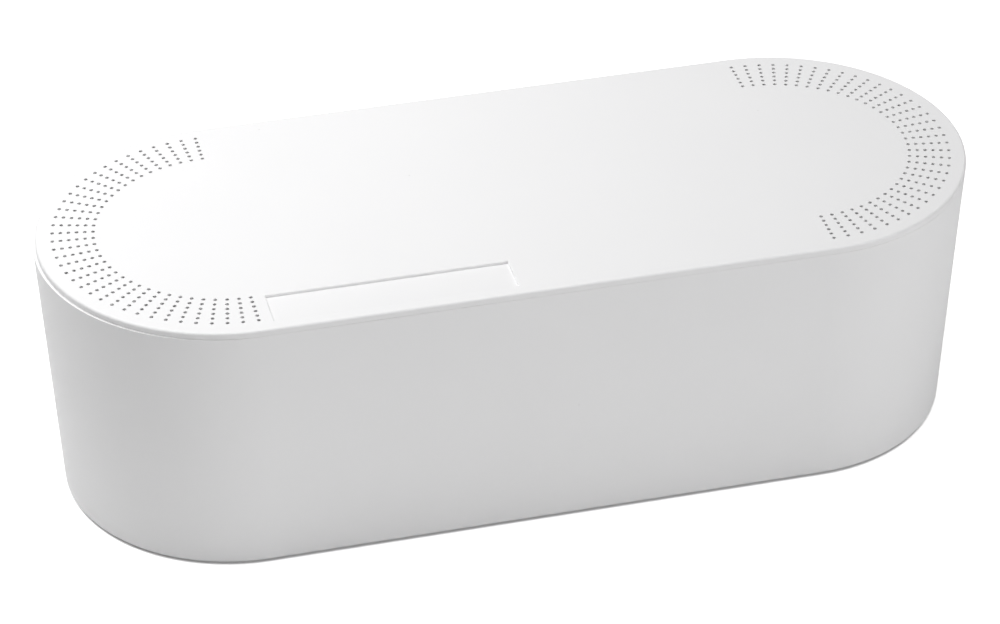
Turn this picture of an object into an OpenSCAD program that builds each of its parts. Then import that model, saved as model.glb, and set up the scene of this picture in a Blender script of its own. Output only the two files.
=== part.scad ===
// Cable management box: an open tub on four rubber feet, closed by a lift-off lid with vents.
// Seen from above, tub and lid are stadiums: two straight sides joined by half-round ends.
// The origin is on the resting plane under the middle of the box. +Z is up and -Y is the front.

/* [Box] */
// Overall length, over the tub's rim
box_l = 415.2; // [360:0.2:600]
// Overall width, over the tub's rim
box_w = 165; // [130:1:200]
// Overall height, from the feet to the top of the lid
box_h = 124.5; // [90:0.5:200]
// How far the tub's wall leans in between the rim and the base
wall_lean = 5.4; // [0:0.1:12]

/* [Tub] */
// Thickness of the tub's wall, measured level
wall = 2.4; // [1.8:0.1:4]
// Thickness of the tub's floor
floor_t = 2.6; // [2:0.1:5]
// Rounding of the rim's outer edge
rim_round = 0.2; // [0.1:0.1:0.9]
// Rounding of the base's outer edge
base_round = 1; // [0.2:0.1:3]
// Rounding inside the tub, where the floor meets the wall
floor_round = 1.5; // [0.5:0.5:6]

/* [Cable outlets] */
// Width of each outlet in the rear wall
outlet_w = 60; // [20:1:65]
// Depth of each outlet below the rim
outlet_depth = 22; // [14:1:40]
// Rounding of each outlet's lower corners
outlet_round = 10; // [2:1:10]
// Distance from an outlet's outer side to where the rear wall starts to bend
outlet_end_gap = 20; // [5:1:25]

/* [Lid] */
// How far the lid, when centred, stops short of the rim at each end
lid_short = 0.6; // [0:0.1:1]
// Share of that play by which the loose lid lies to the right
lid_aside = 1; // [0:0.1:1]
// Thickness of the lid's top plate
lid_t = 2.6; // [2:0.1:3.2]
// Height of the lid's outer edge
lid_edge_h = 2.9; // [2:0.1:6]
// Rounding of the lid's top edge
lid_round = 1.2; // [0.4:0.1:1.9]
// Height of the shadow gap between the lid's edge and the rim
seam_h = 0.1; // [0.1:0.05:1]
// How deep the shadow gap runs in under the lid's edge
seam_depth = 0.6; // [0.3:0.1:1.2]
// How far the locating skirt reaches down inside the rim
skirt_h = 8; // [4:0.5:12]
// Thickness of the skirt at its tip
skirt_t = 1.8; // [1.2:0.1:3]
// Lead-in chamfer round the skirt's tip
skirt_lead = 0.6; // [0.2:0.1:1]
// Clearance between the skirt and the tub's wall
skirt_gap = 0.3; // [0.2:0.05:0.8]
// Clearance on each side of an outlet where the skirt is cut away
skirt_notch_gap = 3; // [1:0.5:6]

/* [Vents] */
// Diameter of each vent hole
vent_d = 1.7; // [1:0.1:2.4]
// Rows of vents round each half-round end, the first and the last where the sides begin
vent_rows = 37; // [13:2:49]
// Holes in each row
vents_per_row = 6; // [2:1:8]
// Distance between the holes of a row
vent_pitch = 3.5; // [3:0.1:6]
// Distance from the box's side to the outermost holes
vent_margin = 8; // [7.5:0.5:15]

/* [Panel] */
// Length of the recessed bare panel
panel_l = 104.6; // [40:0.2:110]
// Width of the panel
panel_w = 19.3; // [8:0.1:40]
// Depth of the panel below the lid's top
panel_depth = 1.3; // [0.7:0.1:1.5]
// Rounding of the lid's edge round the panel
panel_round = 0.6; // [0.1:0.1:0.6]
// Distance from the lid's front side to the panel
panel_margin = 6.1; // [4:0.1:15]
// Distance from where the left end begins to the panel
panel_end_gap = 6.1; // [3:0.1:15]

/* [Feet] */
// Diameter of each rubber foot
foot_d = 16; // [10:1:24]
// How far the feet hold the tub off the surface
foot_stand = 1.5; // [1:0.1:6]
// Depth of the socket that each foot is stuck into
socket_depth = 1; // [0.4:0.1:1.4]
// Clearance round each foot in its socket
socket_gap = 0.1; // [0.05:0.05:0.4]
// Rounding of the foot's lower edge
foot_round = 0.8; // [0.2:0.1:0.9]
// Distance from the base's outer edge to the feet
foot_margin = 14; // [6:1:24]
// Direction of each foot from the middle of its end, measured from the long axis
foot_angle = 50; // [20:5:80]

/* [Hidden] */
$fn = 96;
vent_fn = 24;
arc_steps = 8;
// Length that a cutting shape runs past the face that it cuts
past = 1;

// Where the half-round ends begin, on the tub and on the lid
end_x = (box_l - box_w) / 2;
lid_end_x = end_x - lid_short;
lid_r = box_w / 2;
base_z = foot_stand;
floor_z = base_z + floor_t;
rim_z = box_h - lid_edge_h - seam_h;
skirt_z = rim_z - skirt_h;
plate_z = box_h - lid_t;
lean = wall_lean / (rim_z - base_z);
lean_angle = atan(lean);
skirt_inset = wall + skirt_gap;
skirt_inner_r = wall_r(skirt_z, skirt_inset) - skirt_t;
outlet_x = end_x - outlet_end_gap - outlet_w / 2;
foot_ring = wall_r(base_z, 0) - foot_margin - foot_d / 2;
foot_x = end_x + foot_ring * cos(foot_angle);
foot_y = foot_ring * sin(foot_angle);

// Distance of the leaning wall from the box's middle line at a height, less an inset
function wall_r(z, inset) = lid_r - (rim_z - z) * lean - inset;

// Centre of a rounding that touches the leaning wall from inside
function round_centre(z, inset, radius) = [wall_r(z, inset) - radius / cos(lean_angle), z];

// Points of an arc from one direction to another
function arc(centre, radius, from, to) =
    [for (i = [0:arc_steps]) let (t = from + (to - from) * i / arc_steps)
        centre + radius * [cos(t), sin(t)]];

// Outlines give distance from the middle line and height, from the bottom up
tub_outline = concat(
    [[0, base_z]],
    arc(round_centre(base_z + base_round, 0, base_round), base_round, -90, -lean_angle),
    arc(round_centre(rim_z - rim_round, 0, rim_round), rim_round, -lean_angle, 90),
    [[0, rim_z]]);

tub_hollow_outline = concat(
    [[0, floor_z]],
    arc(round_centre(floor_z + floor_round, wall, floor_round), floor_round, -90, -lean_angle),
    [[wall_r(rim_z + past, wall), rim_z + past], [0, rim_z + past]]);

lid_outline = concat(
    [[0, skirt_z]],
    [[wall_r(skirt_z, skirt_inset + skirt_lead), skirt_z]],
    [[wall_r(skirt_z + skirt_lead, skirt_inset), skirt_z + skirt_lead]],
    [[wall_r(rim_z, skirt_inset), rim_z]],
    [[lid_r - seam_depth, rim_z]],
    [[lid_r - seam_depth, rim_z + seam_h]],
    [[lid_r, rim_z + seam_h]],
    arc([lid_r - lid_round, box_h - lid_round], lid_round, 0, 90),
    [[0, box_h]]);

lid_hollow_outline = [
    [0, skirt_z - past],
    [skirt_inner_r, skirt_z - past],
    [skirt_inner_r, plate_z],
    [0, plate_z]];

foot_outline = concat(
    [[0, 0]],
    arc([foot_d / 2 - foot_round, foot_round], foot_round, -90, 0),
    [[foot_d / 2, base_z + socket_depth], [0, base_z + socket_depth]]);

// Half of the panel's recess, for one of its two widths, with the lid's rounded edge beside it
function panel_outline(width) = concat(
    [[width / 2, box_h - panel_depth]],
    arc([width / 2 + panel_round, box_h - panel_round], panel_round, 180, 90),
    [[width / 2 + panel_round, box_h + past]]);

// An outline together with its mirror image on the other side of the middle line
function both_sides(outline) = concat(
    outline,
    [for (i = [len(outline) - 1:-1:0]) [-outline[i].x, outline[i].y]]);

// Solid stadium whose outline, from the middle line outwards, is the same all the way round.
// Its half-round ends begin at straight_x on either side.
module stadium(outline, straight_x) {
    rotate([90, 0, 90])
        linear_extrude(height = 2 * straight_x, center = true)
            polygon(both_sides(outline));
    for (turn = [0, 180])
        rotate([0, 0, turn])
            translate([straight_x, 0, 0])
                rotate([0, 0, -90])
                    rotate_extrude(angle = 180)
                        polygon(outline);
}

// Puts its children at each of the four feet
module at_feet() {
    for (side = [-1, 1], end = [-1, 1])
        translate([end * foot_x, side * foot_y, 0])
            children();
}

// One opening through the rear wall, from the rim down, with rounded lower corners
module outlet_cut() {
    straight_w = outlet_w - 2 * outlet_round;
    translate([0, lid_r + past, rim_z - outlet_depth])
        rotate([90, 0, 0])
            linear_extrude(height = lid_r / 2) {
                translate([-outlet_w / 2, outlet_round])
                    square([outlet_w, outlet_depth - outlet_round + past]);
                translate([-straight_w / 2, 0])
                    square([straight_w, outlet_round + past]);
                for (side = [-1, 1])
                    translate([side * straight_w / 2, outlet_round])
                        circle(r = outlet_round);
            }
}

module tub() {
    color([0.93, 0.93, 0.94])
        difference() {
            stadium(tub_outline, end_x);
            stadium(tub_hollow_outline, end_x);
            for (end = [-1, 1])
                translate([end * outlet_x, 0, 0])
                    outlet_cut();
            at_feet()
                translate([0, 0, base_z - past])
                    cylinder(d = foot_d + 2 * socket_gap, h = socket_depth + past);
        }
}

// Vent holes round one half-round end, through the lid's plate
module vent_cuts() {
    for (row = [0:vent_rows - 1], hole = [0:vents_per_row - 1])
        rotate([0, 0, -90 + row * 180 / (vent_rows - 1)])
            translate([lid_r - vent_margin - hole * vent_pitch, 0, plate_z - past])
                cylinder(d = vent_d, h = lid_t + 2 * past, $fn = vent_fn);
}

// Clears the skirt out of the way of one outlet
module skirt_notch_cut() {
    notch_w = outlet_w + 2 * skirt_notch_gap;
    translate([-notch_w / 2, lid_r / 2, skirt_z - past])
        cube([notch_w, lid_r / 2, skirt_h + past]);
}

module panel_cut() {
    translate([panel_end_gap + panel_l / 2 - end_x, panel_margin + panel_w / 2 - lid_r, 0])
        intersection() {
            rotate([90, 0, 0])
                linear_extrude(height = 2 * panel_w, center = true)
                    polygon(both_sides(panel_outline(panel_l)));
            rotate([90, 0, 90])
                linear_extrude(height = 2 * panel_l, center = true)
                    polygon(both_sides(panel_outline(panel_w)));
        }
}

module lid() {
    color([0.96, 0.96, 0.97])
        translate([lid_aside * lid_short, 0, 0])
            difference() {
                stadium(lid_outline, lid_end_x);
                stadium(lid_hollow_outline, lid_end_x);
                for (turn = [0, 180])
                    rotate([0, 0, turn])
                        translate([end_x, 0, 0])
                            vent_cuts();
                for (end = [-1, 1])
                    translate([end * outlet_x, 0, 0])
                        skirt_notch_cut();
                panel_cut();
            }
}

// Rubber disc, stuck into its socket, at one corner of the base
module foot(end, side) {
    color([0.2, 0.2, 0.21])
        translate([end * foot_x, side * foot_y, 0])
            rotate_extrude()
                polygon(foot_outline);
}

module foot_front_left() {
    foot(-1, -1);
}

module foot_front_right() {
    foot(1, -1);
}

module foot_rear_left() {
    foot(-1, 1);
}

module foot_rear_right() {
    foot(1, 1);
}

tub();
lid();
foot_front_left();
foot_front_right();
foot_rear_left();
foot_rear_right();
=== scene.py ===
"""Looks of the cable management box: finishes, studio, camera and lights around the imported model."""
import math

import bpy
from mathutils import Euler, Matrix, Vector


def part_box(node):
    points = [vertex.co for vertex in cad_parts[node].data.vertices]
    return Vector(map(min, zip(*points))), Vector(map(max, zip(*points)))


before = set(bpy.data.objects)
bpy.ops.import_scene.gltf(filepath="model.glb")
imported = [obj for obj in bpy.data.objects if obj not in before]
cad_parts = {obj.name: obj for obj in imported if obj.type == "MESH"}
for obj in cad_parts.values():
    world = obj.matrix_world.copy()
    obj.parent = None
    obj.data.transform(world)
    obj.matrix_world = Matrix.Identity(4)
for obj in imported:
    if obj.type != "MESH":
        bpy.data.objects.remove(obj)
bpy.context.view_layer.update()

# ---------------------------------------------------------------- the box, in metres

LID_LOW, LID_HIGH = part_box("lid")
LID_CENTRE = Vector(((LID_LOW.x + LID_HIGH.x) / 2, 0, LID_HIGH.z))
TUB_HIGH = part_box("tub")[1]
# How far the tub's walls lean in between its rim and its base, and how wide its rounded lower edge is
WALL_LEAN = 0.0054
BASE_EDGE = 0.0012
# Half-width of the base, and how far from the middle its half-round ends are centred
BASE_RADIUS = TUB_HIGH.y - WALL_LEAN
BASE_END_X = TUB_HIGH.x - TUB_HIGH.y

# ---------------------------------------------------------------- camera, in metres and degrees

CAMERA_AZIMUTH = -13.905
CAMERA_ELEVATION = 34.062
CAMERA_ROLL = -0.345
CAMERA_DISTANCE = 1.5944
LENS_MM = 131.28
SENSOR_WIDTH_MM = 36
NEAREST_SEEN = 0.05
FARTHEST_SEEN = 50
# Where the camera looks, from the middle of the lid's top, along its own right and up
AIM_RIGHT = -0.00335
AIM_UP = -0.0546

# ---------------------------------------------------------------- studio, in metres, degrees and watts

WHITE = (1, 1, 1, 1)
FLOOR_SIZE = 12.0
FLOOR_COLOUR = (0.9, 0.9, 0.9, 1)
FLOOR_ROUGHNESS = 0.9
# Light that the floor adds for the camera, which makes it white: near the tub and far from it
NEAR_FLOOR_LIFT = 0.75
FAR_FLOOR_LIFT = 1.0
# Distances from the base's middle line up to which it is the near light, and beyond which the far one
NEAR_DISTANCE = 0.3
FAR_DISTANCE = 1.5
# The share of it that is left under the tub: painted shade, which makes the gap beneath it darker on top of
# its real shadow
PAINTED_GAP_SHADE_SHARE = 0.07
# Light that the floor adds in mirror reflections
MIRRORED_FLOOR_LIFT = 0.2

# The lamps face this point
LAMP_TARGET = Vector((0, 0, 0.06))
# Azimuth from the front, -Y, towards the right, +X, then elevation, distance, width and power
LAMPS = {
    "front": (0, 12, 2.0, 1.0, 5.4),
    "front_right": (45, 12, 2.0, 1.0, 12.2),
    "left": (-90, 12, 2.0, 1.0, 3),
    "upper_left": (-120, 60, 1.0, 0.6, 7.3),
    "above": (0, 90, 1.6, 1.0, 8),
}

# ---------------------------------------------------------------- finishes

PLASTIC_DARKER = (0.854, 0.852, 0.856, 1)
PLASTIC_LIGHTER = (0.876, 0.874, 0.878, 1)
PLASTIC_DUST = (0.55, 0.54, 0.52, 1)
PLASTIC_DUST_COVER = 0.35
RUBBER_DARKER = (0.14, 0.14, 0.15, 1)
RUBBER_LIGHTER = (0.18, 0.18, 0.19, 1)
RUBBER_DUST = (0.45, 0.44, 0.42, 1)
RUBBER_DUST_COVER = 0.3
# A speck is whole up to the first share of its size, and fades out towards the second
SPECK_CORE = 0.5
SPECK_RIM = 0.8

# ---------------------------------------------------------------- shader nodes


def new_material(name):
    """A node material with its tree, and its Principled shader."""
    material = bpy.data.materials.new(name)
    material.use_nodes = True
    tree = material.node_tree
    return material, tree, tree.nodes["Principled BSDF"]


def add_node(tree, kind, inputs, **settings):
    """A node with its settings made and its inputs linked or filled in."""
    node = tree.nodes.new("ShaderNode" + kind)
    for key, value in settings.items():
        setattr(node, key, value)
    for key, value in inputs.items():
        if isinstance(value, bpy.types.NodeSocket):
            tree.links.new(value, node.inputs[key])
        else:
            node.inputs[key].default_value = value
    return node


def object_place(tree):
    """Place of a point in the object's own metres."""
    return add_node(tree, "TexCoord", {}).outputs["Object"]


def noise(tree, place, size, detail=2.0, roughness=0.5):
    """Soft noise from 0 to 1, whose patches are about as wide as size."""
    inputs = {"Vector": place, "Scale": 1 / size, "Detail": detail, "Roughness": roughness}
    return add_node(tree, "TexNoise", inputs).outputs["Fac"]


def remap(tree, value, low, high, to_low, to_high):
    """Straight change of one range of values into another, held at its ends."""
    inputs = {"Value": value, "From Min": low, "From Max": high, "To Min": to_low, "To Max": to_high}
    return add_node(tree, "MapRange", inputs).outputs["Result"]


def calculate(tree, operation, first, second=0):
    """One sum on two values, or on the first alone where the operation takes only one."""
    return add_node(tree, "Math", {0: first, 1: second}, operation=operation).outputs[0]


def mix_colours(tree, amount, first, second):
    """Blend of two colours."""
    inputs = {0: amount, 6: first, 7: second}
    return add_node(tree, "Mix", inputs, data_type="RGBA").outputs[2]


def specks(tree, place, spacing, size):
    """1 in small dots that lie about spacing apart, 0 between them."""
    cells = add_node(tree, "TexVoronoi", {"Vector": place, "Scale": 1 / spacing})
    core = SPECK_CORE * size / spacing
    rim = SPECK_RIM * size / spacing
    return remap(tree, cells.outputs["Distance"], core, rim, 1.0, 0.0)


def dusted(tree, colour, dots, cover, dust_colour):
    """A colour under specks of dust that hide a share of it."""
    return mix_colours(tree, calculate(tree, "MULTIPLY", dots, cover), colour, dust_colour)


def bump(tree, height, distance, strength):
    """Bump node that makes relief from a height between 0 and 1."""
    return add_node(tree, "Bump", {"Height": height, "Distance": distance, "Strength": strength})


def seen_directly(tree, strength, mirrored_strength):
    """One strength for what the camera sees itself, one for mirror reflections and glass, else 0."""
    path = add_node(tree, "LightPath", {}).outputs
    mirrored = calculate(tree, "MAXIMUM", path["Is Glossy Ray"], path["Is Transmission Ray"])
    mirrored = calculate(tree, "MULTIPLY", mirrored, mirrored_strength)
    direct = calculate(tree, "MULTIPLY", path["Is Camera Ray"], strength)
    return calculate(tree, "MAXIMUM", direct, mirrored)


# ---------------------------------------------------------------- materials


def moulded_white(name):
    """Matte white plastic with a fine spark-eroded grain, faint mottling and a few specks of dust."""
    material, tree, shader = new_material(name)
    place = object_place(tree)

    mottle = noise(tree, place, size=0.06, detail=3)
    colour = mix_colours(tree, mottle, PLASTIC_DARKER, PLASTIC_LIGHTER)
    dots = specks(tree, place, spacing=0.021, size=0.0006)
    colour = dusted(tree, colour, dots, PLASTIC_DUST_COVER, PLASTIC_DUST)
    tree.links.new(colour, shader.inputs["Base Color"])

    smudges = noise(tree, place, size=0.018, detail=4, roughness=0.6)
    roughness = remap(tree, smudges, low=0.35, high=0.75, to_low=0.56, to_high=0.46)
    tree.links.new(roughness, shader.inputs["Roughness"])

    waves = noise(tree, place, size=0.03, detail=1)
    wave_relief = bump(tree, waves, distance=0.0004, strength=0.12)
    grain = noise(tree, place, size=0.00035, detail=2, roughness=0.6)
    grain_relief = bump(tree, grain, distance=0.00003, strength=0.5)
    tree.links.new(wave_relief.outputs["Normal"], grain_relief.inputs["Normal"])
    tree.links.new(grain_relief.outputs["Normal"], shader.inputs["Normal"])
    return material


def foot_rubber(name):
    """Matte dark grey rubber with a coarse grain and pale dust."""
    material, tree, shader = new_material(name)
    place = object_place(tree)

    patches = noise(tree, place, size=0.004, detail=4)
    colour = mix_colours(tree, patches, RUBBER_DARKER, RUBBER_LIGHTER)
    dots = specks(tree, place, spacing=0.0016, size=0.0003)
    colour = dusted(tree, colour, dots, RUBBER_DUST_COVER, RUBBER_DUST)
    tree.links.new(colour, shader.inputs["Base Color"])

    roughness = remap(tree, patches, low=0.3, high=0.7, to_low=0.72, to_high=0.86)
    tree.links.new(roughness, shader.inputs["Roughness"])

    grain = noise(tree, place, size=0.0004, detail=2)
    grain_relief = bump(tree, grain, distance=0.00006, strength=0.7)
    tree.links.new(grain_relief.outputs["Normal"], shader.inputs["Normal"])
    return material


def base_distance(tree):
    """How far a point of the floor lies from the line on which the base's half-round ends are centred."""
    position = add_node(tree, "NewGeometry", {}).outputs["Position"]
    place = add_node(tree, "SeparateXYZ", {0: position}).outputs
    from_middle = calculate(tree, "ABSOLUTE", place["X"])
    beyond = calculate(tree, "SUBTRACT", from_middle, BASE_END_X)
    beyond = calculate(tree, "MAXIMUM", beyond, 0)
    offset = add_node(tree, "CombineXYZ", {"X": beyond, "Y": place["Y"]}).outputs[0]
    return add_node(tree, "VectorMath", {0: offset}, operation="LENGTH").outputs["Value"]


def floor_white(name):
    """Plain pale floor, which the camera sees lifted to white around the tub; under it the lift is cut to a
    small share, painted shade that darkens the gap on top of its real shadow.
    """
    material, tree, shader = new_material(name)
    shader.inputs["Base Color"].default_value = FLOOR_COLOUR
    shader.inputs["Roughness"].default_value = FLOOR_ROUGHNESS
    shader.inputs["Emission Color"].default_value = WHITE
    distance = base_distance(tree)
    lift = remap(tree, distance, NEAR_DISTANCE, FAR_DISTANCE, NEAR_FLOOR_LIFT, FAR_FLOOR_LIFT)
    # Painted shade: across the base's rounded edge the lift drops to a small share, so the floor under the
    # tub shows its real shadow plus painted darkening
    share = remap(tree, distance, BASE_RADIUS - BASE_EDGE, BASE_RADIUS, PAINTED_GAP_SHADE_SHARE, 1)
    strength = seen_directly(tree, calculate(tree, "MULTIPLY", lift, share), MIRRORED_FLOOR_LIFT)
    tree.links.new(strength, shader.inputs["Emission Strength"])
    return material


def dress(node, material):
    """Gives a CAD node its finish."""
    node.data.materials.clear()
    node.data.materials.append(material)


# ---------------------------------------------------------------- camera and studio


def make_camera():
    """The camera, which looks down on the box from the front and a little to the left."""
    azimuth = math.radians(CAMERA_AZIMUTH)
    elevation = math.radians(CAMERA_ELEVATION)
    turn = Euler((math.pi / 2 - elevation, 0, azimuth), "XYZ").to_matrix()
    turn = turn @ Matrix.Rotation(math.radians(CAMERA_ROLL), 3, "Z")
    right, up, back = turn.col
    place = LID_CENTRE + AIM_RIGHT * right + AIM_UP * up + CAMERA_DISTANCE * back
    data = bpy.data.cameras.new("camera")
    data.lens = LENS_MM
    data.sensor_width = SENSOR_WIDTH_MM
    data.sensor_fit = "HORIZONTAL"
    data.clip_start = NEAREST_SEEN
    data.clip_end = FARTHEST_SEEN
    camera = bpy.data.objects.new("camera", data)
    camera.matrix_world = Matrix.Translation(place) @ turn.to_4x4()
    bpy.context.scene.collection.objects.link(camera)
    bpy.context.scene.camera = camera


def make_floor():
    """The plain floor on which the feet stand."""
    half = FLOOR_SIZE / 2
    corners = [(-half, -half, 0), (half, -half, 0), (half, half, 0), (-half, half, 0)]
    mesh = bpy.data.meshes.new("floor")
    mesh.from_pydata(corners, [], [(0, 1, 2, 3)])
    floor = bpy.data.objects.new("floor", mesh)
    bpy.context.scene.collection.objects.link(floor)
    mesh.materials.append(floor_white("floor"))


def make_world():
    """White surroundings for the camera and mirror reflections, which put no diffuse light on the box."""
    world = bpy.data.worlds.new("studio")
    world.use_nodes = True
    background = world.node_tree.nodes["Background"]
    background.inputs["Color"].default_value = WHITE
    world.node_tree.links.new(seen_directly(world.node_tree, 1, 1), background.inputs["Strength"])
    bpy.context.scene.world = world


def soft_lamp(name, azimuth, elevation, distance, width, power):
    """A large square lamp that faces the middle of the box."""
    data = bpy.data.lights.new(name, "AREA")
    data.shape = "SQUARE"
    data.size = width
    data.energy = power
    azimuth = math.radians(azimuth)
    elevation = math.radians(elevation)
    level = Vector((math.sin(azimuth), -math.cos(azimuth), 0))
    away = math.cos(elevation) * level + Vector((0, 0, math.sin(elevation)))
    lamp = bpy.data.objects.new(name, data)
    lamp.location = LAMP_TARGET + distance * away
    lamp.rotation_euler = away.to_track_quat("Z", "Y").to_euler()
    bpy.context.scene.collection.objects.link(lamp)


make_camera()
white = moulded_white("white_plastic")
rubber = foot_rubber("foot_rubber")
for name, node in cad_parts.items():
    dress(node, rubber if name.startswith("foot_") else white)

make_floor()
make_world()
for name, settings in LAMPS.items():
    soft_lamp(name, *settings)

bpy.context.scene.view_settings.view_transform = "Standard"
